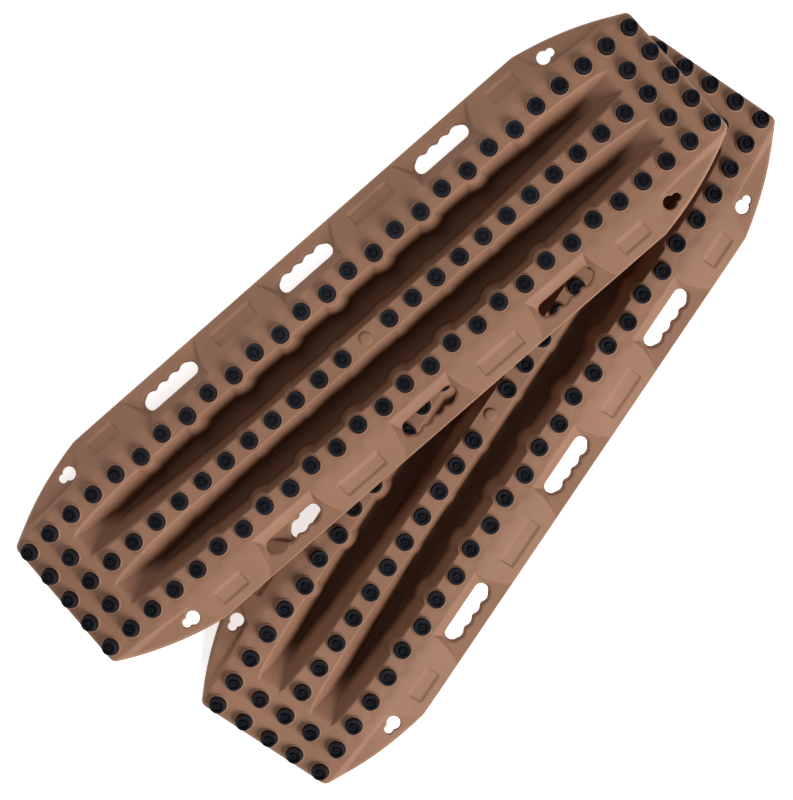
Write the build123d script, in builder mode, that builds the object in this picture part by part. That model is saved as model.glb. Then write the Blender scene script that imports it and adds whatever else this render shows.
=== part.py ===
"""Pair of moulded tire traction boards, one lying across the other.

Units are millimetres. +Z is up and +X runs along the lower board, whose keels stand on Z = 0.
"""

import os
from math import asin, cos, degrees, radians, sin, sqrt, tan

from build123d import *

os.makedirs("parts", exist_ok=True)

# Moulded board
HALF_LENGTH = 583
HALF_WIDTH = 166
DECK_HEIGHT = 54
WALL = 4
FLAT_HALF_LENGTH = 352
END_RADIUS = 660
STRAIGHT_SIDE_X = 415
END_SIDE_X = 497
END_SIDE_Y = 145.5
END_EDGE_HALF = 108
END_CORNER_RADIUS = 11
END_RIM_DEPTH = 11

# Side flanges and the lowered fields around the handles and the lashing holes
FLANGE_START = 105.5
FLANGE_SLOPE = tan(radians(16))
FIELD_START = 110
LEAF_SLOPE = 0.43
HANDLE_WALL_SLOPE = 1.2
HANDLE_SHELF_HEIGHT = 37
FLANGE_MIDDLE = (FLANGE_START + HALF_WIDTH) / 2

# Valleys between the tooth rows
VALLEY_INNER = 16
VALLEY_OUTER = 74
VALLEY_DRAFT = 16
VALLEY_END_DRAFT = 28
VALLEY_NARROWS_X = 230
VALLEY_RAMP_X = 427
VALLEY_END_X = 503
VALLEY_TIP_HALF = 17
VALLEY_TIP_START_X = 440

# Tooth stations along the board and tooth rows across it
PITCH = 44
FLAT_STATIONS = 8
LAST_STATION = 13
FIRST_WIDE_STATION = 12
ROW_Y = 89.3
INNER_ROW_Y = 84.3
EXTRA_ROW_Y = 44
BULGE_RADIUS = 18

# Seats, teeth and fasteners
SEAT_DIAMETER = 30
SEAT_RISE = 1
BOSS_DIAMETER = 20
BOSS_DEPTH = 9
SCREW_HOLE_DIAMETER = 6.6
BLANK_DIAMETER = 19
BLANK_RISE = 3
TOOTH_FOOT_DIAMETER = 25
TOOTH_FOOT_HEIGHT = 2
TOOTH_BASE_DIAMETER = 24
TOOTH_TOP_DIAMETER = 22
TOOTH_HEIGHT = 9
CUP_DIAMETER = 17
CUP_DEPTH = 4
SCREW_DIAMETER = 6
SCREW_HEAD_DIAMETER = 10.5
SCREW_HEAD_HEIGHT = 3.2
SCREW_SOCKET_FLATS = 4
SCREW_SOCKET_DEPTH = 2
NUT_FLATS = 10
NUT_HEIGHT = 4.5
NUT_FLANGE_DIAMETER = 14
NUT_FLANGE_HEIGHT = 1.4
NUT_BORE_DIAMETER = 6.1
SCREW_PROUD = 0.5

# Handle slots
HANDLE_XS = (-256, 0, 256)
SLOT_LENGTH = 95
SLOT_INNER_Y = 123.5
SLOT_OUTER_Y = 145.5
SLOT_CORNER_RADIUS = 10
SLOT_LIP = 3
SLOT_LIP_DEPTH = 10
LOBE_PITCH = 21
LOBE_RADIUS = 12
LOBE_REACH = 2
HANDLE_FIELD_INNER_HALF = 54
HANDLE_FIELD_MID_HALF = 58
HANDLE_FIELD_OUTER_HALF = 73

# Wedge-shaped pockets in the flanges
POCKETS = ((130, 72), (378, 48))
POCKET_INNER_Y = 133
POCKET_FLOOR = 41.2
POCKET_WALL_SLOPE = 35

# Lashing keyholes
KEYHOLE_X = 449
KEYHOLE_Y = 136
KEYHOLE_RADIUS = 10
KEYHOLE_STEP = 12
KEYHOLE_TAIL_RADIUS = 6.4
LEAF_INNER = ((444, 122), (547, 112))
LEAF_SIDE = ((426, 138), (419, 170))

# Lower board, set so that the pair is centred on the origin
LOWER_X = 6.2
LOWER_Y = -154.6

# Upper board, lying with a keel on two teeth of the lower board and one end on the ground
UPPER_X = -0.68
UPPER_Y = 49.89
UPPER_Z = 45.2
UPPER_ROLL = -8.6
UPPER_PITCH = -2.97
UPPER_TURN = -14.75

PLAN_TOP = DECK_HEIGHT + 20
CUT_HEIGHT = PLAN_TOP + 20
TRIM = 1


def station_x(number):
    """Distance of a tooth station from the middle of the board."""
    on_flat = min(number, FLAT_STATIONS) * PITCH
    angle = (number - FLAT_STATIONS) * PITCH / END_RADIUS
    return on_flat if number <= FLAT_STATIONS else FLAT_HALF_LENGTH + END_RADIUS * sin(angle)


def deck_z(x):
    """Height of the deck's top face over the middle of the board."""
    past = max(abs(x) - FLAT_HALF_LENGTH, 0)
    return DECK_HEIGHT - END_RADIUS + sqrt(END_RADIUS**2 - past**2)


def row_y(number):
    """Distance of an outer-row tooth from the middle line; the rows weave along the flat deck."""
    return INNER_ROW_Y if number <= FLAT_STATIONS and number % 2 == 0 else ROW_Y


def seat(x, y):
    """Place on the deck's top face, with Z square to the face."""
    slope = degrees(asin(max(abs(x) - FLAT_HALF_LENGTH, 0) / END_RADIUS))
    return Location((x, y, deck_z(x)), (0, slope if x > 0 else -slope, 0))


def half_under(start, slope, drop):
    """Solid of one quarter of the board below its top faces, lowered by a drop."""
    deck_end = deck_z(HALF_LENGTH) - drop
    deck_top = DECK_HEIGHT - drop
    with BuildPart() as body:
        for at_y, reach, direction in (
            (0, start, (0, 1, 0)),
            (start, HALF_WIDTH - start + TRIM, (0, 1, -slope)),
        ):
            with BuildSketch(Plane.XZ.offset(-at_y)):
                with BuildLine():
                    Line((0, deck_top), (FLAT_HALF_LENGTH, deck_top))
                    TangentArc((FLAT_HALF_LENGTH, deck_top), (HALF_LENGTH, deck_end), tangent=(1, 0))
                    Polyline(
                        (HALF_LENGTH, deck_end),
                        (HALF_LENGTH, -PLAN_TOP),
                        (0, -PLAN_TOP),
                        (0, deck_top),
                    )
                make_face()
            extrude(amount=reach * sqrt(1 + direction[2] ** 2), dir=direction)
    return body.part


def valley(growth):
    """One quarter's valley: the hollow itself, or the hollow grown by the wall around it."""
    middle = (VALLEY_INNER + VALLEY_OUTER) / 2
    half = (VALLEY_OUTER - VALLEY_INNER) / 2 + growth
    lean = tan(radians(VALLEY_DRAFT))
    plan_half = half + (CUT_HEIGHT - DECK_HEIGHT) * lean
    floor = WALL - growth
    end_x = VALLEY_END_X + growth
    ramp_rise = (deck_z(VALLEY_END_X) - WALL) / (VALLEY_END_X - VALLEY_RAMP_X)
    end_z = floor + (end_x - VALLEY_RAMP_X) * ramp_rise
    drafts = (
        (0, VALLEY_DRAFT),
        (VALLEY_NARROWS_X, VALLEY_DRAFT),
        (VALLEY_RAMP_X, VALLEY_END_DRAFT),
        (end_x, VALLEY_END_DRAFT),
    )
    with BuildPart() as body:
        for x, draft in drafts:
            floor_half = half - (DECK_HEIGHT - floor) * tan(radians(draft))
            top_half = half + (CUT_HEIGHT - DECK_HEIGHT) * tan(radians(draft))
            with BuildSketch(Plane.YZ.offset(x)):
                Polygon(
                    (middle - floor_half, floor),
                    (middle + floor_half, floor),
                    (middle + top_half, CUT_HEIGHT),
                    (middle - top_half, CUT_HEIGHT),
                    align=None,
                )
        loft(ruled=True)
        with BuildSketch(Plane.XZ):
            Polygon(
                (0, floor),
                (VALLEY_RAMP_X, floor),
                (end_x, end_z),
                (end_x, CUT_HEIGHT),
                (0, CUT_HEIGHT),
                align=None,
            )
        extrude(amount=-HALF_WIDTH, mode=Mode.INTERSECT)
        with BuildSketch():
            Polygon(
                (0, middle - plan_half),
                (VALLEY_TIP_START_X, middle - plan_half),
                (end_x, middle - VALLEY_TIP_HALF - growth),
                (end_x, middle + VALLEY_TIP_HALF + growth),
                (VALLEY_TIP_START_X, middle + plan_half),
                (0, middle + plan_half),
                align=None,
            )
        extrude(amount=CUT_HEIGHT, mode=Mode.INTERSECT)
        bulge_top = BULGE_RADIUS - growth
        bulge_base = bulge_top + DECK_HEIGHT * lean
        bulge_tip = bulge_top - (CUT_HEIGHT - DECK_HEIGHT) * lean
        spots = [(station_x(k), INNER_ROW_Y) for k in range(0, FLAT_STATIONS + 1, 2)]
        spots += [(station_x(k), 0) for k in range(1, FLAT_STATIONS, 2)]
        with Locations(*[(x, y, 0) for x, y in spots]):
            Cone(
                bulge_base,
                max(bulge_tip, TRIM),
                CUT_HEIGHT,
                align=(Align.CENTER, Align.CENTER, Align.MIN),
                mode=Mode.SUBTRACT,
            )
    return body.part


def below_handles(drop):
    """Solid of one quarter below the steep wall and level shelf around the handles."""
    with BuildPart() as body:
        add(half_under(FIELD_START, HANDLE_WALL_SLOPE, drop))
        with Locations((0, 0, HANDLE_SHELF_HEIGHT - drop)):
            Box(HALF_LENGTH, HALF_WIDTH + TRIM, PLAN_TOP, align=(Align.MIN, Align.MIN, Align.MAX))
    return body.part


def handle_field(growth):
    """Plan of the lowered field around one handle slot, over one quarter of the board."""
    with BuildSketch() as plan:
        for centre in (x for x in HANDLE_XS if x >= 0):
            with BuildLine():
                for side in (-1, 1):
                    ThreePointArc(
                        (centre + side * (HANDLE_FIELD_INNER_HALF + growth), FIELD_START),
                        (centre + side * (HANDLE_FIELD_MID_HALF + growth), FLANGE_MIDDLE),
                        (centre + side * (HANDLE_FIELD_OUTER_HALF + growth), HALF_WIDTH + TRIM),
                    )
                    Line(
                        (centre, FIELD_START),
                        (centre + side * (HANDLE_FIELD_INNER_HALF + growth), FIELD_START),
                    )
                    Line(
                        (centre, HALF_WIDTH + TRIM),
                        (centre + side * (HANDLE_FIELD_OUTER_HALF + growth), HALF_WIDTH + TRIM),
                    )
            make_face()
    return plan.sketch


def leaf_field(growth):
    """Plan of the lowered leaf-shaped field around one keyhole."""
    (x0, y0), (x1, y1) = LEAF_INNER
    mid, foot = LEAF_SIDE
    with BuildSketch() as plan:
        with BuildLine():
            Line((x0 - growth, y0 - growth), (x1 + growth, y1 - growth))
            ThreePointArc(
                (x0 - growth, y0 - growth),
                (mid[0] - growth, mid[1]),
                (foot[0] - growth, foot[1]),
            )
            Polyline(
                (foot[0] - growth, foot[1]),
                (x1 + growth, foot[1]),
                (x1 + growth, y1 - growth),
            )
        make_face()
    return plan.sketch


def slot_plan(growth):
    """Plan of the handle slots: straight inner side, finger lobes on the outer side."""
    middle_y = (SLOT_INNER_Y + SLOT_OUTER_Y) / 2
    with BuildSketch() as plan:
        with Locations(*[(x, middle_y) for x in HANDLE_XS]):
            RectangleRounded(
                SLOT_LENGTH + 2 * growth,
                SLOT_OUTER_Y - SLOT_INNER_Y + 2 * growth,
                SLOT_CORNER_RADIUS + growth,
            )
        lobe_y = SLOT_OUTER_Y + LOBE_REACH - LOBE_RADIUS
        lobes = [(x + LOBE_PITCH * n, lobe_y) for x in HANDLE_XS for n in (-1.5, -0.5, 0.5, 1.5)]
        with Locations(*lobes):
            Circle(LOBE_RADIUS + growth)
    return plan.sketch


# Quarter of the moulded shell, X and Y positive
top_body = half_under(FLANGE_START, FLANGE_SLOPE, 0)
under_body = half_under(FLANGE_START, FLANGE_SLOPE, WALL)
leaf_top = half_under(FIELD_START, LEAF_SLOPE, 0)
leaf_under = half_under(FIELD_START, LEAF_SLOPE, WALL)
handle_top = below_handles(0)
handle_under = below_handles(WALL)
valley_skin = valley(WALL)
valley_hollow = valley(0)
POCKET_RUN = (PLAN_TOP - POCKET_FLOOR) * tan(radians(POCKET_WALL_SLOPE))

with BuildPart() as fields:
    for plan, floor in ((handle_field, handle_under), (leaf_field, leaf_under)):
        with BuildPart() as field:
            with BuildSketch():
                add(plan(WALL))
            extrude(amount=PLAN_TOP)
            add(top_body, mode=Mode.INTERSECT)
            add(floor, mode=Mode.SUBTRACT)
        add(field.part)

with BuildPart() as slot_lips:
    with BuildSketch():
        add(slot_plan(SLOT_LIP))
    extrude(amount=PLAN_TOP)
    add(handle_top, mode=Mode.INTERSECT)
    with Locations((0, 0, -SLOT_LIP_DEPTH)):
        add(handle_under, mode=Mode.SUBTRACT)

with BuildPart() as pocket_pads:
    with BuildSketch(Plane.XY.offset(POCKET_FLOOR - WALL)):
        for centre, width in POCKETS:
            with Locations((centre, FLANGE_MIDDLE)):
                Rectangle(width + 2 * WALL, 2 * (FLANGE_MIDDLE - POCKET_INNER_Y + WALL))
    extrude(amount=PLAN_TOP)
    add(top_body, mode=Mode.INTERSECT)

seats = [seat(station_x(k), row_y(k)) for k in range(LAST_STATION + 1)]
seats += [seat(station_x(k), 0) for k in range(LAST_STATION + 1)]
seats += [seat(station_x(k), EXTRA_ROW_Y) for k in range(FIRST_WIDE_STATION, LAST_STATION + 1)]

with BuildPart() as quarter:
    add(valley_skin)
    add(top_body, mode=Mode.INTERSECT)
    add(top_body - under_body)
    add(fields.part)
    add(slot_lips.part)
    add(pocket_pads.part)
    with Locations(*seats):
        Cylinder(
            BOSS_DIAMETER / 2, BOSS_DEPTH, align=(Align.CENTER, Align.CENTER, Align.MAX)
        )
        Cylinder(
            SEAT_DIAMETER / 2, SEAT_RISE, align=(Align.CENTER, Align.CENTER, Align.MIN)
        )
    # Rim turned down along the end edge
    with Locations((HALF_LENGTH, 0, deck_z(HALF_LENGTH) - END_RIM_DEPTH)):
        Box(WALL, HALF_WIDTH, END_RIM_DEPTH - WALL / 2, align=(Align.MAX, Align.MIN, Align.MIN))
    # Hollows, lowered fields and openings
    add(valley_hollow, mode=Mode.SUBTRACT)
    for plan, floor in ((handle_field, handle_top), (leaf_field, leaf_top)):
        field_cut = extrude(plan(0), amount=PLAN_TOP, mode=Mode.PRIVATE) - floor
        add(field_cut, mode=Mode.SUBTRACT)
    with BuildSketch():
        add(slot_plan(0))
        with Locations((KEYHOLE_X, KEYHOLE_Y)):
            Circle(KEYHOLE_RADIUS)
        with Locations((KEYHOLE_X + KEYHOLE_STEP, KEYHOLE_Y)):
            Circle(KEYHOLE_TAIL_RADIUS)
    extrude(amount=PLAN_TOP, mode=Mode.SUBTRACT)
    for centre, width in POCKETS:
        with BuildSketch(Plane.YZ.offset(centre - width / 2)):
            Polygon(
                (POCKET_INNER_Y, POCKET_FLOOR),
                (HALF_WIDTH + TRIM, POCKET_FLOOR),
                (HALF_WIDTH + TRIM, PLAN_TOP),
                (POCKET_INNER_Y - POCKET_RUN, PLAN_TOP),
                align=None,
            )
        extrude(amount=width, mode=Mode.SUBTRACT)
    with Locations(*seats):
        Cylinder(SCREW_HOLE_DIAMETER / 2, 2 * BOSS_DEPTH + 2 * SEAT_RISE, mode=Mode.SUBTRACT)
    # Plain moulded disc in place of the middle tooth
    with Locations(seat(0, 0)):
        Cylinder(
            BLANK_DIAMETER / 2, BLANK_RISE, align=(Align.CENTER, Align.CENTER, Align.MIN)
        )
        Cylinder(
            SCREW_HOLE_DIAMETER, BOSS_DEPTH, align=(Align.CENTER, Align.CENTER, Align.MAX)
        )
    # Plan outline
    with BuildSketch():
        with BuildLine():
            Polyline((0, 0), (0, HALF_WIDTH), (STRAIGHT_SIDE_X, HALF_WIDTH))
            ThreePointArc(
                (STRAIGHT_SIDE_X, HALF_WIDTH),
                (END_SIDE_X, END_SIDE_Y),
                (HALF_LENGTH, END_EDGE_HALF),
            )
            Polyline((HALF_LENGTH, END_EDGE_HALF), (HALF_LENGTH, 0), (0, 0))
        outline = make_face()
        end_corner = outline.vertices().sort_by_distance((HALF_LENGTH, END_EDGE_HALF))[0]
        fillet(end_corner, END_CORNER_RADIUS)
    extrude(amount=PLAN_TOP, mode=Mode.INTERSECT)

with BuildPart() as board_shell:
    add(quarter.part)
    mirror(about=Plane.YZ)
    mirror(about=Plane.XZ)

# One tooth, one screw and one nut, standing on the seat's own plane
with BuildPart() as tooth:
    with Locations((0, 0, SEAT_RISE)):
        Cylinder(
            TOOTH_FOOT_DIAMETER / 2,
            TOOTH_FOOT_HEIGHT,
            align=(Align.CENTER, Align.CENTER, Align.MIN),
        )
        Cone(
            TOOTH_BASE_DIAMETER / 2,
            TOOTH_TOP_DIAMETER / 2,
            TOOTH_HEIGHT,
            align=(Align.CENTER, Align.CENTER, Align.MIN),
        )
    with Locations((0, 0, SEAT_RISE + TOOTH_HEIGHT)):
        Cylinder(
            CUP_DIAMETER / 2,
            CUP_DEPTH,
            align=(Align.CENTER, Align.CENTER, Align.MAX),
            mode=Mode.SUBTRACT,
        )
    Cylinder(SCREW_HOLE_DIAMETER / 2, 2 * TOOTH_HEIGHT, mode=Mode.SUBTRACT)

HEAD_SEAT = SEAT_RISE + TOOTH_HEIGHT - CUP_DEPTH
with BuildPart() as screw:
    with Locations((0, 0, HEAD_SEAT)):
        Cone(
            SCREW_HEAD_DIAMETER / 2,
            SCREW_HEAD_DIAMETER / 3,
            SCREW_HEAD_HEIGHT,
            align=(Align.CENTER, Align.CENTER, Align.MIN),
        )
        Cylinder(
            SCREW_DIAMETER / 2,
            HEAD_SEAT + BOSS_DEPTH + NUT_HEIGHT + SCREW_PROUD,
            align=(Align.CENTER, Align.CENTER, Align.MAX),
        )
    with BuildSketch(Plane.XY.offset(HEAD_SEAT + SCREW_HEAD_HEIGHT)):
        RegularPolygon(SCREW_SOCKET_FLATS / 2, 6, major_radius=False)
    extrude(amount=-SCREW_SOCKET_DEPTH, mode=Mode.SUBTRACT)

with BuildPart() as nut:
    with BuildSketch(Plane.XY.offset(-BOSS_DEPTH)):
        RegularPolygon(NUT_FLATS / 2, 6, major_radius=False)
    extrude(amount=-NUT_HEIGHT)
    with Locations((0, 0, -BOSS_DEPTH)):
        Cylinder(
            NUT_FLANGE_DIAMETER / 2,
            NUT_FLANGE_HEIGHT,
            align=(Align.CENTER, Align.CENTER, Align.MAX),
        )
        Cylinder(NUT_BORE_DIAMETER / 2, 2 * NUT_HEIGHT, mode=Mode.SUBTRACT)

# Rows of seats on one board
numbers = range(-LAST_STATION, LAST_STATION + 1)
ends = range(FIRST_WIDE_STATION, LAST_STATION + 1)


def signed_x(number):
    """Station position on either side of the middle."""
    return station_x(abs(number)) * (-1 if number < 0 else 1)


ROWS = {
    "left": [seat(signed_x(k), row_y(abs(k))) for k in numbers],
    "centre": [seat(signed_x(k), 0) for k in numbers if k != 0],
    "right": [seat(signed_x(k), -row_y(abs(k))) for k in numbers],
    "front_end": [seat(station_x(k), y) for k in ends for y in (EXTRA_ROW_Y, -EXTRA_ROW_Y)],
    "rear_end": [seat(-station_x(k), y) for k in ends for y in (EXTRA_ROW_Y, -EXTRA_ROW_Y)],
}
BOARDS = {
    "lower_board": Location((LOWER_X, LOWER_Y, 0)),
    "upper_board": Location((UPPER_X, UPPER_Y, UPPER_Z))
    * Location((0, 0, 0), (0, 0, UPPER_TURN))
    * Location((0, 0, 0), (0, UPPER_PITCH, 0))
    * Location((0, 0, 0), (UPPER_ROLL, 0, 0)),
}

for board, place in BOARDS.items():
    with BuildPart() as moulding:
        with Locations(place):
            add(board_shell.part)
    moulding.part.label = f"{board}_shell"
    export_step(moulding.part, f"parts/{board}_shell.step")
    for row, row_seats in ROWS.items():
        for piece, plural in ((tooth, "teeth"), (screw, "screws"), (nut, "nuts")):
            with BuildPart() as group:
                with Locations(*[place * spot for spot in row_seats]):
                    add(piece.part)
            group.part.label = f"{board}_{row}_{plural}"
            export_step(group.part, f"parts/{board}_{row}_{plural}.step")
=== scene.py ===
"""Looks for the pair of moulded traction boards: shells, metal teeth, light and camera."""

import bmesh
import bpy
import numpy as np
from mathutils import Matrix, Vector


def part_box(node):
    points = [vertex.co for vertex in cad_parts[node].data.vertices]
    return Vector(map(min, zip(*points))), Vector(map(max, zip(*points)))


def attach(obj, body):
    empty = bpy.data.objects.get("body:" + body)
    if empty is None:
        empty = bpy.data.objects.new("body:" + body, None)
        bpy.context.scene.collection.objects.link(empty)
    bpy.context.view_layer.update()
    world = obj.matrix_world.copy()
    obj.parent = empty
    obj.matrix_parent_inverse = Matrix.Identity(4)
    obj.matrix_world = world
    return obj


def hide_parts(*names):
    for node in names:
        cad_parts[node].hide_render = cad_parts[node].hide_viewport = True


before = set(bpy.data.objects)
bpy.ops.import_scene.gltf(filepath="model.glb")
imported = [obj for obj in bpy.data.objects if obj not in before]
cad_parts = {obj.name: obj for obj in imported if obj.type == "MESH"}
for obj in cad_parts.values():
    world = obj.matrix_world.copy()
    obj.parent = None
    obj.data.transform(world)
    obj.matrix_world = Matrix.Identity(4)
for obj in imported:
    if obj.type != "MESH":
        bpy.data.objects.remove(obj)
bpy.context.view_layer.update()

MM = 0.001
BOARDS = ("lower_board", "upper_board")
ROWS = ("left", "centre", "right", "front_end", "rear_end")

# ---------------------------------------------------------------- board sizes, millimetres
HALF_LENGTH = 583.0
HALF_WIDTH = 166.0
DECK = 54.0
WALL = 4.0
FLAT = 352.0  # half of the level part of the deck
END_RADIUS = 660.0  # the ends droop on this radius
CORNER_RADIUS = 11.0
SIDE_END = (415.0, HALF_WIDTH)  # the side curves in from here,
SIDE_MIDDLE = (497.0, 145.5)  # through here,
END_CORNER = (HALF_LENGTH, 108.0)  # to the end edge

PITCH = 44.0
LEVEL_STATIONS = 8
LAST_STATION = 13
WIDE_STATION = 12  # five teeth across from here on
OUTER_ROW = 89.3
INNER_ROW = 84.3
END_ROW = 44.0

SLOT_XS = (0.0, 256.0)
SLOT_Y = 133.9
SLOT_HALF = (47.5, 10.4)
SLOT_CORNER = 10.0
LOBE_PITCH = 21.0
LOBE_Y = 135.5
LOBE_RADIUS = 12.0
KEYHOLE = (449.0, 136.0)
KEYHOLE_RADIUS = 10.0
TAIL_OFFSET = 12.0
TAIL_RADIUS = 6.4
MELT = 0.8  # how softly lobes and tail run into their opening
CREASE = 3.0  # how softly two faces of the moulding meet

FLANGE_START = 105.5
FLANGE_SOFTNESS = 7.0
FLANGE_SLOPE = 0.2867
FIELD_START = 110.0
FIELD_SOFTNESS = 4.0
SHELF = 37.0
SHELF_SLOPE = 1.2
SHELF_END_SLOPE = 1.5
SHELF_HALF_LENGTH = 54.0
SHELF_WIDENS = (0.5, 18.5)  # straight and curved part of the growth towards the edge
SHELF_RUN = 57.0
LEAF_CORNER = (444.0, 122.0)
LEAF_INNER_SLOPE = 10.0 / 103.0
LEAF_SIDE_CURVE = (42.0, 17.0)
LEAF_SIDE_RUN = 48.0
LEAF_DROP = 6.2
LEAF_SLOPE = 0.19
LEAF_STEP = 1.0
POCKETS = ((130.0, 72.0), (378.0, 48.0))  # middle and width of each
POCKET_SPAN = (127.0, 154.0)
POCKET_DEPTH = 2.5
DIP_DEPTH = 1.3
DIP_Y = 102.0

VALLEY_Y = 45.0
VALLEY_HALF_WIDTH = 29.0
VALLEY_NARROWS = 230.0
RAMP_START = 427.0
RAMP_END = 503.0
LEAN, END_LEAN = np.tan(np.radians(16.0)), np.tan(np.radians(28.0))
BULGE_RADIUS = 18.0
TIP_START = 440.0
TIP_HALF_WIDTHS = (40.5, 17.0)  # at its start and at the ramp's end
TIP_LEAN = 0.3

SLOT_LIP = 5.0
SLOT_LIP_DROP = 10.0
KEYHOLE_LIP = 2.0
RIM_LIP, END_RIM_LIP = 1.8, 5.4
END_RIM_DEPTH = 11.0
BOSS_RADIUS = 11.2
BOSS_DEPTH = 9.0
THINNEST = 1.2

GRID_STEP = ((1.5, 1.15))
SNAP_REACH = 0.62  # share of a grid step from which a point moves onto an edge
EDGE_ERROR = 0.12  # a snapped point may stay this far outside
WALL_SHADE = (0.2, 0.45)  # painted shade, as depth value, at the top and the foot of the edge walls; the underside takes the foot's value


def station_x(k):
    if k <= LEVEL_STATIONS:
        return k * PITCH
    return FLAT + END_RADIUS * np.sin((k - LEVEL_STATIONS) * PITCH / END_RADIUS)


def row_y(k):
    return INNER_ROW if k <= LEVEL_STATIONS and k % 2 == 0 else OUTER_ROW


def seat_rows(k):
    """Places across the board, on its positive side, of the teeth at one station."""
    middle = (0.0,) if k else ()
    extra = (END_ROW,) if k >= WIDE_STATION else ()
    return (row_y(k), *middle, *extra)


def deck_z(x):
    past = np.clip(np.abs(x) - FLAT, 0, None)
    return DECK - END_RADIUS + np.sqrt(END_RADIUS**2 - past**2)


def soft_min(a, b, k):
    h = np.clip(0.5 + 0.5 * (b - a) / k, 0, 1)
    return b * (1 - h) + a * h - k * h * (1 - h)


def soft_max(a, b, k):
    return -soft_min(-a, -b, k)


def ramp01(t):
    t = np.clip(t, 0, 1)
    return t * t * (3 - 2 * t)


def soft_step(d, k):
    """How far past zero, with a rounded start."""
    return 0.5 * (d + np.sqrt(d * d + k**2))


# ---------------------------------------------------------------- plan shapes, negative inside
def rounded_box(x, y, cx, cy, hx, hy, r):
    qx = np.abs(x - cx) - hx + r
    qy = np.abs(y - cy) - hy + r
    return np.hypot(np.maximum(qx, 0), np.maximum(qy, 0)) + np.minimum(np.maximum(qx, qy), 0) - r


def slot_gap(x, y):
    """Handle slots: straight inner side, four finger lobes outward."""
    d = np.full_like(x, 1e3)
    for cx in SLOT_XS:
        d = np.minimum(d, rounded_box(x, y, cx, SLOT_Y, *SLOT_HALF, SLOT_CORNER))
        for n in (-1.5, -0.5, 0.5, 1.5):
            lobe = np.hypot(x - cx - LOBE_PITCH * n, y - LOBE_Y) - LOBE_RADIUS
            d = soft_min(d, lobe, MELT)
    return d


def keyhole_gap(x, y):
    cx, cy = KEYHOLE
    big = np.hypot(x - cx, y - cy) - KEYHOLE_RADIUS
    tail = np.hypot(x - cx - TAIL_OFFSET, y - cy) - TAIL_RADIUS
    return soft_min(big, tail, MELT)


def arc_points(centre, radius, first, last, count):
    return [centre + radius * np.array((np.cos(t), np.sin(t))) for t in np.linspace(first, last, count)]


def angle_of(v):
    return np.arctan2(v[1], v[0])


def outline_points():
    """Quarter outline from the middle of the side round to the middle of the end."""
    a, b, c = np.array(SIDE_END), np.array(SIDE_MIDDLE), np.array(END_CORNER)
    o = np.linalg.solve(np.array([b - a, c - a]), np.array([b @ b - a @ a, c @ c - a @ a]) / 2)
    last = angle_of(c - o)
    arc = arc_points(o, np.linalg.norm(a - o), angle_of(a - o), last, 60)
    # rounded corner between the side curve and the straight end edge
    tangent = np.array((np.sin(last), -np.cos(last)))
    turn = np.arccos(tangent @ np.array((0.0, -1.0)))
    back = CORNER_RADIUS * np.tan(turn / 2)
    start = c - tangent * back
    centre = c - np.array((CORNER_RADIUS, back))
    corner = arc_points(centre, CORNER_RADIUS, angle_of(start - centre), 0.0, 24)
    side = [np.array((x, HALF_WIDTH)) for x in np.linspace(-60, SIDE_END[0] - 1, 40)]
    end = [np.array((HALF_LENGTH, y)) for y in np.linspace(corner[-1][1] - 1, -60, 40)]
    return np.array(side + [p for p in arc if p[0] < start[0]] + corner + end)


OUTLINE = outline_points()
EDGE_ZONE = (390.0, 140.0)  # the curved outline is only looked for beyond these


def outline_gap(x, y):
    """Distance to the quarter outline, negative inside. Far inside, the straight edges are enough."""
    gap = -np.minimum(HALF_WIDTH - y, HALF_LENGTH - x)
    near = (x > EDGE_ZONE[0]) | (y > EDGE_ZONE[1])
    q = np.stack([x[near], y[near]], 1)
    distance = np.full(len(q), 1e9)
    side = np.ones(len(q))
    for s, e in zip(OUTLINE[:-1], OUTLINE[1:]):
        d = e - s
        w = q - s
        t = np.clip((w @ d) / (d @ d), 0, 1)
        dist = np.hypot(w[:, 0] - t * d[0], w[:, 1] - t * d[1])
        take = dist < distance
        distance[take] = dist[take]
        side[take] = np.sign(d[0] * w[:, 1] - d[1] * w[:, 0])[take]
    gap[near] = distance * side
    return gap


def body_gap(x, y):
    """Negative where there is material in plan."""
    return np.maximum(outline_gap(x, y), np.maximum(-slot_gap(x, y), -keyhole_gap(x, y)))


def handle_field_gap(x, y, grow):
    """Negative inside the sunk fields round the handles, which widen towards the edge."""
    straight, curved = SHELF_WIDENS
    t = (y - FIELD_START) / SHELF_RUN
    width = SHELF_HALF_LENGTH + straight * t + curved * t * t + grow
    d = np.min([np.abs(x - cx) - width for cx in SLOT_XS], axis=0)
    return np.maximum(d, FIELD_START - grow - y)


def leaf_field_gap(x, y, grow):
    """Negative inside the lowered leaf round the keyhole."""
    corner_x, corner_y = LEAF_CORNER
    straight, curved = LEAF_SIDE_CURVE
    inner = corner_y - (x - corner_x) * LEAF_INNER_SLOPE - grow - y
    s = np.clip((y - corner_y) / LEAF_SIDE_RUN, 0, 1.2)
    side = corner_x - straight * s + curved * s * s - grow
    return np.maximum(inner, side - x)


# ---------------------------------------------------------------- faces of one quarter
# Each takes grow 0 for the top face, or the wall's thickness for the underside.
def lower_leaf(z, x, y, grow):
    """Lowers the face inside the leaf round the keyhole."""
    deck = deck_z(x) - grow
    start = soft_step(y - FIELD_START, FIELD_SOFTNESS)
    inside = ramp01(0.5 - leaf_field_gap(x, y, grow) / 3.0)
    floor = soft_max(deck - 0.9 * start, deck - LEAF_DROP - LEAF_SLOPE * start, CREASE)
    return z - inside * (np.maximum(z - floor, 0) + LEAF_STEP * ramp01((y - 116.0) / 4.0))


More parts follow.
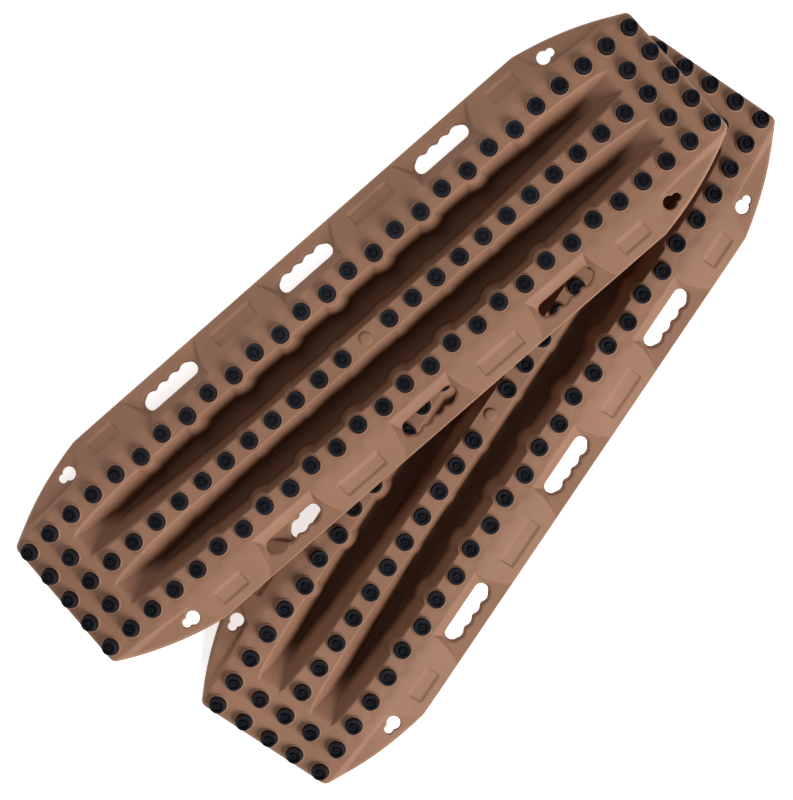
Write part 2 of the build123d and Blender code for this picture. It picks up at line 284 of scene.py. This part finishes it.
def lower_shelf(z, x, y, grow):
    """Sinks a steep wall and a level shelf with sloping ends round the handles."""
    start = soft_step(y - FIELD_START, FIELD_SOFTNESS)
    shelf = soft_max(deck_z(x) - grow - SHELF_SLOPE * start, np.full_like(z, SHELF - grow), CREASE)
    ends = z + SHELF_END_SLOPE * np.minimum(handle_field_gap(x, y, grow), 0)
    return np.minimum(z, np.maximum(shelf, ends))


def flange_marks(z, x, y, grow):
    """Dips between the teeth along the ridge's outer edge, and shallow pockets in the flange."""
    for k in range(LAST_STATION):
        middle = (station_x(k) + station_x(k + 1)) / 2
        z = z - DIP_DEPTH * np.exp(-((x - middle) / 10.0) ** 2 - ((y - DIP_Y) / 9.0) ** 2)
    first, last = POCKET_SPAN
    for cx, width in POCKETS:
        side = np.abs(x - cx) - width / 2 - grow
        depth = POCKET_DEPTH * ramp01((y - first) / 7.0) * ramp01((last - y) / 6.0)
        z = z - ramp01(0.5 - side / 1.2) * depth
    return z


def valley(x, y, grow):
    """Steep walls and a flat floor amidships, narrowing to a keel line and a ramp at the ends."""
    narrow = np.clip((x - VALLEY_NARROWS) / (RAMP_START - VALLEY_NARROWS), 0, 1)
    lean = LEAN + (END_LEAN - LEAN) * narrow
    across = np.abs(y - VALLEY_Y) - grow
    sides = DECK + (across - VALLEY_HALF_WIDTH) / lean
    wide, blunt = TIP_HALF_WIDTHS
    tip_half = wide + (blunt - wide) * np.clip((x - TIP_START) / (RAMP_END - TIP_START), 0, 1)
    sides = soft_max(sides, deck_z(x) + (across - tip_half) / TIP_LEAN, CREASE)
    for k in range(LEVEL_STATIONS + 1):
        cy = INNER_ROW if k % 2 == 0 else 0.0
        bulge = DECK - (np.hypot(x - station_x(k), y - cy) - BULGE_RADIUS + grow) / LEAN
        sides = soft_max(sides, np.minimum(bulge, DECK + 40), 2.5)
    slope = (deck_z(RAMP_END) - WALL) / (RAMP_END - RAMP_START)
    floor = WALL - grow + np.maximum(x - RAMP_START, 0) * slope
    return soft_max(sides, floor, 9.0 - 6.0 * narrow) - 1.0 * (grow > 0)


def surface(x, y, grow=0.0):
    """Top face of one quarter, or its underside without bosses and rims."""
    z = deck_z(x) - grow - soft_step(y - FLANGE_START, FLANGE_SOFTNESS) * FLANGE_SLOPE
    for change in (lower_leaf, lower_shelf, flange_marks):
        z = change(z, x, y, grow)
    return np.where((y < 80.0) & (x < 520.0), soft_min(z, valley(x, y, grow), 3.5), z)


def lip_drop(gap, radius):
    """How far the top face has rolled down at a given distance inside an edge."""
    s = np.clip(radius - gap, 0, radius)
    return radius - np.sqrt(np.maximum(radius**2 - s**2, 0))


def top_surface(x, y):
    """Top face with its edges rolled down round the openings and along the rim."""
    z = surface(x, y) - lip_drop(slot_gap(x, y), SLOT_LIP)
    z = z - lip_drop(np.maximum(keyhole_gap(x, y), 0), KEYHOLE_LIP)
    rim_lip = RIM_LIP + (END_RIM_LIP - RIM_LIP) * ramp01((x - SIDE_END[0]) / 40.0)
    return z - lip_drop(-outline_gap(x, y), rim_lip)


def under_surface(x, y):
    """Underside with the slots' turned-down lips, the end rims and the screw bosses."""
    z = surface(x, y, WALL)
    slot = slot_gap(x, y)
    z = z - SLOT_LIP_DROP * ramp01(1.0 - (slot - 2.6) / 1.6) * (slot < 5)
    end = ramp01((x - HALF_LENGTH + 6.0) / 2.0)
    z = z * (1 - end) + np.minimum(z, deck_z(HALF_LENGTH) - END_RIM_DEPTH) * end
    for k in range(LAST_STATION + 1):
        boss = deck_z(station_x(k)) - BOSS_DEPTH
        for cy in seat_rows(k):
            r = np.hypot(x - station_x(k), y - cy)
            z = np.minimum(z, z + (boss - z) * ramp01((BOSS_RADIUS - r) / 1.4))
    return z


def painted_valley_shade(x, y, top):
    """Painted shade of a point of the top face: how far it lies down a valley, from 0 at the deck to 1, with
    a small first step that darkens even shallow slopes.
    """
    sunk = deck_z(x) - top
    return (0.22 * ramp01(sunk / 7.0) + 0.78 * ramp01((sunk - 24.0) / 26.0)) * (y < 82.0)


# ---------------------------------------------------------------- shell mesh
def quarter_grid(step_x, step_y):
    """Grid over the quarter, snapped to the outline and openings, cut where there is no material."""
    nx = int(round((HALF_LENGTH + 3) / step_x))
    ny = int(round((HALF_WIDTH + 3) / step_y))
    gx, gy = np.meshgrid(np.arange(nx + 1) * step_x, np.arange(ny + 1) * step_y, indexing="ij")
    x, y = gx.copy(), gy.copy()
    snap = np.abs(body_gap(gx, gy)) < SNAP_REACH * max(step_x, step_y)
    e = 0.05
    for _ in range(3):
        g = body_gap(x, y)
        ax = (body_gap(x + e, y) - body_gap(x - e, y)) / (2 * e)
        ay = (body_gap(x, y + e) - body_gap(x, y - e)) / (2 * e)
        steepness = np.maximum(ax**2 + ay**2, 0.2)
        x = np.where(snap & (gx > 0), x - g * ax / steepness, x)
        y = np.where(snap & (gy > 0), y - g * ay / steepness, y)
    inside = body_gap(x, y) < EDGE_ERROR
    index = np.arange(x.size).reshape(x.shape)
    cell = [np.s_[:-1, :-1], np.s_[1:, :-1], np.s_[1:, 1:], np.s_[:-1, 1:]]
    corners = [index[c] for c in cell]
    kept = [inside[c] for c in cell]
    count = sum(k.astype(int) for k in kept)
    faces = np.stack([c[count == 4] for c in corners], 1).tolist()
    for missing in range(4):
        three = (count == 3) & ~kept[missing]
        faces += np.stack([c[three] for i, c in enumerate(corners) if i != missing], 1).tolist()
    used, place = np.unique(np.concatenate([np.array(f) for f in faces]), return_inverse=True)
    place = iter(place.tolist())
    faces = [[next(place) for _ in f] for f in faces]
    return x.ravel()[used], y.ravel()[used], faces


def open_edges(x, y, faces):
    """Directed edges with a face on one side only, leaving out the two lines of symmetry."""
    edges = {(i, j) for f in faces for i, j in zip(f, f[1:] + f[:1])}
    for i, j in edges:
        on_x = x[i] < 1e-6 and x[j] < 1e-6
        on_y = y[i] < 1e-6 and y[j] < 1e-6
        if (j, i) not in edges and not on_x and not on_y:
            yield i, j


def shell_mesh(name, levels=4):
    """Whole shell: one quarter with a top, an underside and edge walls, mirrored three times."""
    x, y, faces = quarter_grid(*GRID_STEP)
    n = len(x)
    top = top_surface(x, y)
    under = np.maximum(np.minimum(under_surface(x, y), top - THINNEST), 0.0)
    verts = [*zip(x, y, top), *zip(x, y, under)]
    # Painted shade values: down the valleys on the top face, and the walls' darkest value all over the
    # underside.
    depth = [*painted_valley_shade(x, y, top), *np.full(n, WALL_SHADE[1])]
    quads = faces + [[n + i for i in reversed(f)] for f in faces]
    chains = {}

    def wall_chain(i):
        """Vertices down the edge wall at one border point."""
        if i not in chains:
            first = len(verts)
            for s in range(1, levels):
                t = s / levels
                verts.append((x[i], y[i], top[i] * (1 - t) + under[i] * t))
                # painted shade grows from the top of the wall to its foot
                depth.append(WALL_SHADE[0] * (1 - t) + WALL_SHADE[1] * t)
            chains[i] = [i, *range(first, len(verts)), n + i]
        return chains[i]

    for i, j in sorted(open_edges(x, y, faces)):
        p, q = wall_chain(i), wall_chain(j)
        quads += [[q[s], p[s], p[s + 1], q[s + 1]] for s in range(levels)]
    mirrored, all_faces = [], []
    for sx, sy in ((1, 1), (-1, 1), (1, -1), (-1, -1)):
        base = len(mirrored) * len(verts)
        mirrored.append(np.array(verts) * np.array([sx, sy, 1.0]))
        all_faces += [[base + i for i in (reversed(f) if sx * sy < 0 else f)] for f in quads]
    mesh = bpy.data.meshes.new(name)
    mesh.from_pydata((np.vstack(mirrored) * MM).tolist(), [], all_faces)
    # the depth attribute carries the painted shade to the material
    layer = mesh.attributes.new("depth", "FLOAT", "POINT")
    layer.data.foreach_set("value", np.tile(np.array(depth, np.float32), 4))
    return mesh


def weld(mesh, distance=0.00002, crease=np.radians(38)):
    """Joins the four quarters along their seams and keeps sharp edges sharp."""
    work = bmesh.new()
    work.from_mesh(mesh)
    bmesh.ops.remove_doubles(work, verts=work.verts, dist=distance)
    bmesh.ops.recalc_face_normals(work, faces=work.faces)
    for edge in work.edges:
        edge.smooth = bool(edge.calc_face_angle(0.0) < crease)
    work.to_mesh(mesh)
    work.free()


# ---------------------------------------------------------------- collars and blank disc
COLLAR = ((12.5, 0.6), (12.8, 1.3), (13.2, 1.55), (13.7, 1.45), (14.3, 1.1), (15.0, 0.9), (15.2, -0.6))
DISC = ((0.01, 2.9), (4.0, 2.85), (7.4, 2.6), (8.9, 2.0), (9.5, 1.0), (9.8, -1.0))


def lathe(profile, segments=48):
    """Turned ring or dome round Z from (radius, height) pairs, millimetres."""
    m = len(profile)
    verts, faces = [], []
    for i in range(segments):
        t = 2 * np.pi * i / segments
        verts += [(r * np.cos(t), r * np.sin(t), z) for r, z in profile]
        j = (i + 1) % segments
        faces += [[i * m + s, j * m + s, j * m + s + 1, i * m + s + 1] for s in range(m - 1)]
    return np.array(verts), faces


def seat_places():
    """Middle of each tooth's seat, and how far it leans with the drooping ends."""
    for k in range(-LAST_STATION, LAST_STATION + 1):
        end = -1 if k < 0 else 1
        x = end * station_x(abs(k))
        lean = end * np.arcsin(max(abs(x) - FLAT, 0) / END_RADIUS)
        for y in seat_rows(abs(k)):
            for side in (1, -1) if y else (1,):
                yield x, side * y, lean


def seats_mesh(name):
    """Raised collars under the teeth, and the plain moulded disc in the middle."""
    verts, quads = [], []

    def add(points, faces):
        base = len(verts)
        verts.extend((points * MM).tolist())
        quads.extend([base + i for i in f] for f in faces)

    ring, ring_faces = lathe(COLLAR)
    for x, y, lean in seat_places():
        turn = np.array(Matrix.Rotation(lean, 3, "Y"))
        add(ring @ turn.T + (x, y, deck_z(x)), ring_faces)
    disc, disc_faces = lathe(DISC)
    add(disc + (0.0, 0.0, DECK), disc_faces)
    mesh = bpy.data.meshes.new(name)
    mesh.from_pydata(verts, [], quads)
    return mesh


# ---------------------------------------------------------------- materials
def new_material(name):
    mat = bpy.data.materials.new(name)
    mat.use_nodes = True
    return mat, mat.node_tree, mat.node_tree.nodes["Principled BSDF"]


def noise(tree, scale, detail=3.0, rough=0.55):
    coord = tree.nodes.new("ShaderNodeTexCoord")
    tex = tree.nodes.new("ShaderNodeTexNoise")
    tex.inputs["Scale"].default_value = scale
    tex.inputs["Detail"].default_value = detail
    tex.inputs["Roughness"].default_value = rough
    tree.links.new(coord.outputs["Object"], tex.inputs["Vector"])
    return tex.outputs["Fac"]


def tinted(tree, factor, dark, light, low=0.3, high=0.7):
    ramp = tree.nodes.new("ShaderNodeValToRGB")
    first, last = ramp.color_ramp.elements
    first.position = low
    last.position = high
    first.color = (*dark, 1)
    last.color = (*light, 1)
    tree.links.new(factor, ramp.inputs["Fac"])
    return ramp.outputs["Color"]


def ranged(tree, factor, low, high):
    node = tree.nodes.new("ShaderNodeMapRange")
    node.inputs["To Min"].default_value = low
    node.inputs["To Max"].default_value = high
    tree.links.new(factor, node.inputs["Value"])
    return node.outputs["Result"]


def bumped(tree, shader, factor, distance, strength):
    node = tree.nodes.new("ShaderNodeBump")
    node.inputs["Distance"].default_value = distance
    node.inputs["Strength"].default_value = strength
    tree.links.new(factor, node.inputs["Height"])
    tree.links.new(node.outputs["Normal"], shader.inputs["Normal"])


def painted_shade_by_depth(tree, colour, painted_shade_colour):
    """Paints shade: runs a colour into a darker one down the valleys, by the mesh's own depth values."""
    depth = tree.nodes.new("ShaderNodeAttribute")
    depth.attribute_name = "depth"
    mix = tree.nodes.new("ShaderNodeMix")
    mix.data_type = "RGBA"
    tree.links.new(depth.outputs["Fac"], mix.inputs["Factor"])
    tree.links.new(colour, mix.inputs["A"])
    mix.inputs["B"].default_value = (*painted_shade_colour, 1)
    return mix.outputs["Result"]


def plastic_material():
    mat, tree, shader = new_material("moulding_look")
    colour = tinted(tree, noise(tree, 9.0, 4.0), (0.265, 0.134, 0.08), (0.315, 0.162, 0.099))
    # Painted shade: the shell's colour runs darker down the valleys, on the edge walls and on the underside.
    colour = painted_shade_by_depth(tree, colour, (0.115, 0.044, 0.019))
    tree.links.new(colour, shader.inputs["Base Color"])
    tree.links.new(ranged(tree, noise(tree, 60.0, 5.0), 0.55, 0.7), shader.inputs["Roughness"])
    bumped(tree, shader, noise(tree, 900.0, 2.0), 0.0002, 0.25)
    shader.inputs["IOR"].default_value = 1.5
    shader.inputs["Specular IOR Level"].default_value = 0.28
    return mat


def hardware_material(name, dark, light, metallic, rough_low, rough_high, grain):
    mat, tree, shader = new_material(name)
    tree.links.new(tinted(tree, noise(tree, 45.0), dark, light), shader.inputs["Base Color"])
    tree.links.new(ranged(tree, noise(tree, grain), rough_low, rough_high), shader.inputs["Roughness"])
    bumped(tree, shader, noise(tree, grain * 1.5), 0.0005, 0.45)
    shader.inputs["Metallic"].default_value = metallic
    shader.inputs["Specular IOR Level"].default_value = 0.3
    return mat


PLASTIC = plastic_material()
TOOTH = hardware_material("tooth_look", (0.006, 0.007, 0.011), (0.013, 0.014, 0.022), 0.0, 0.26, 0.36, 300.0)
SCREW = hardware_material("screw_look", (0.005, 0.005, 0.008), (0.012, 0.012, 0.018), 0.0, 0.28, 0.4, 400.0)
NUT = hardware_material("nut_look", (0.42, 0.42, 0.43), (0.55, 0.55, 0.56), 1.0, 0.28, 0.42, 300.0)


def wear(node, material):
    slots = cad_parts[node].data.materials
    slots.clear()
    slots.append(material)


# ---------------------------------------------------------------- boards
def area_centre(node):
    """Area-weighted centre of a CAD node's faces, metres."""
    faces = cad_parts[node].data.polygons
    areas = np.zeros(len(faces), np.float32)
    faces.foreach_get("area", areas)
    centres = np.array([p.center for p in faces])
    return (centres * areas[:, None]).sum(0) / areas.sum()


def board_matrix(board):
    """Place of one board's own frame, from the centres of its rows of teeth in the frame."""
    lo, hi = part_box("lower_board_shell")
    home = np.array([(lo.x + hi.x) / 2, (lo.y + hi.y) / 2, lo.z])
    own = np.array([area_centre(f"lower_board_{row}_teeth") for row in ROWS]) - home
    there = np.array([area_centre(f"{board}_{row}_teeth") for row in ROWS])
    u, _, vt = np.linalg.svd((own - own.mean(0)).T @ (there - there.mean(0)))
    handed = np.diag([1, 1, np.sign(np.linalg.det(vt.T @ u.T))])
    turn = vt.T @ handed @ u.T
    shift = there.mean(0) - turn @ own.mean(0)
    return Matrix.Translation(shift.tolist()) @ Matrix(turn.tolist()).to_4x4()


moulding_mesh = shell_mesh("board_shell")
collar_mesh = seats_mesh("board_collars")
for mesh in (moulding_mesh, collar_mesh):
    mesh.materials.append(PLASTIC)
    mesh.validate()
    mesh.update()
    mesh.shade_smooth()
weld(moulding_mesh)

for board in BOARDS:
    place = board_matrix(board)
    for kind, mesh in (("moulding", moulding_mesh), ("collars", collar_mesh)):
        own_mesh = mesh.copy()
        own_mesh.transform(place)
        piece = bpy.data.objects.new(f"{board}_{kind}", own_mesh)
        bpy.context.scene.collection.objects.link(piece)
        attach(piece, board)
        if kind == "moulding":
            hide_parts(f"{board}_shell")
    for row in ROWS:
        wear(f"{board}_{row}_teeth", TOOTH)
        wear(f"{board}_{row}_screws", SCREW)
        wear(f"{board}_{row}_nuts", NUT)
    wear(f"{board}_shell", PLASTIC)

# ---------------------------------------------------------------- floor
bpy.ops.mesh.primitive_plane_add(size=12, location=(0, 0, -0.0004))
floor = bpy.context.object
floor.name = "floor"
paper, _, shader = new_material("floor_look")
shader.inputs["Base Color"].default_value = (0.97, 0.97, 0.97, 1)
shader.inputs["Roughness"].default_value = 0.9
shader.inputs["Specular IOR Level"].default_value = 0.1
shader.inputs["Emission Color"].default_value = (1, 1, 1, 1)
shader.inputs["Emission Strength"].default_value = 0.7
floor.data.materials.append(paper)

# ---------------------------------------------------------------- light
world = bpy.data.worlds.new("studio")
world.use_nodes = True
sky = world.node_tree.nodes["Background"]
sky.inputs["Color"].default_value = (1.0, 1.0, 1.0, 1)
sky.inputs["Strength"].default_value = 0.2
bpy.context.scene.world = world


def add_light(name, kind, energy, along, at=(0, 0, 0)):
    """Light of one kind that shines along a direction from its place."""
    lamp = bpy.data.lights.new(name, kind)
    lamp.energy = energy
    obj = bpy.data.objects.new(name, lamp)
    obj.location = at
    obj.rotation_euler = Vector(along).to_track_quat("-Z", "Y").to_euler()
    bpy.context.scene.collection.objects.link(obj)
    return lamp


FILL_AT = (0.3, 2.2, 2.45)
fill = add_light("fill", "AREA", 30, along=[-v for v in FILL_AT], at=FILL_AT)
fill.shape = "SQUARE"
fill.size = 1.3
key = add_light("key", "SUN", 3.7, along=(0.18, 1.0, -0.76))
key.angle = np.radians(34)

bpy.context.scene.view_settings.view_transform = "Standard"

# ---------------------------------------------------------------- camera
CAMERA_TURN = Vector((-4.8165, -3.3353, -56.0141))  # degrees
CAMERA_AIM = Vector((-0.05308, -0.03543, 0.0))
CAMERA_DISTANCE = 5.00534

lens = bpy.data.cameras.new("camera")
lens.lens = 155.831
lens.clip_end = 50.0
camera = bpy.data.objects.new("camera", lens)
camera.rotation_euler = [np.radians(a) for a in CAMERA_TURN]
camera.location = CAMERA_AIM + CAMERA_DISTANCE * (camera.rotation_euler.to_matrix() @ Vector((0, 0, 1)))
bpy.context.scene.collection.objects.link(camera)
bpy.context.scene.camera = camera
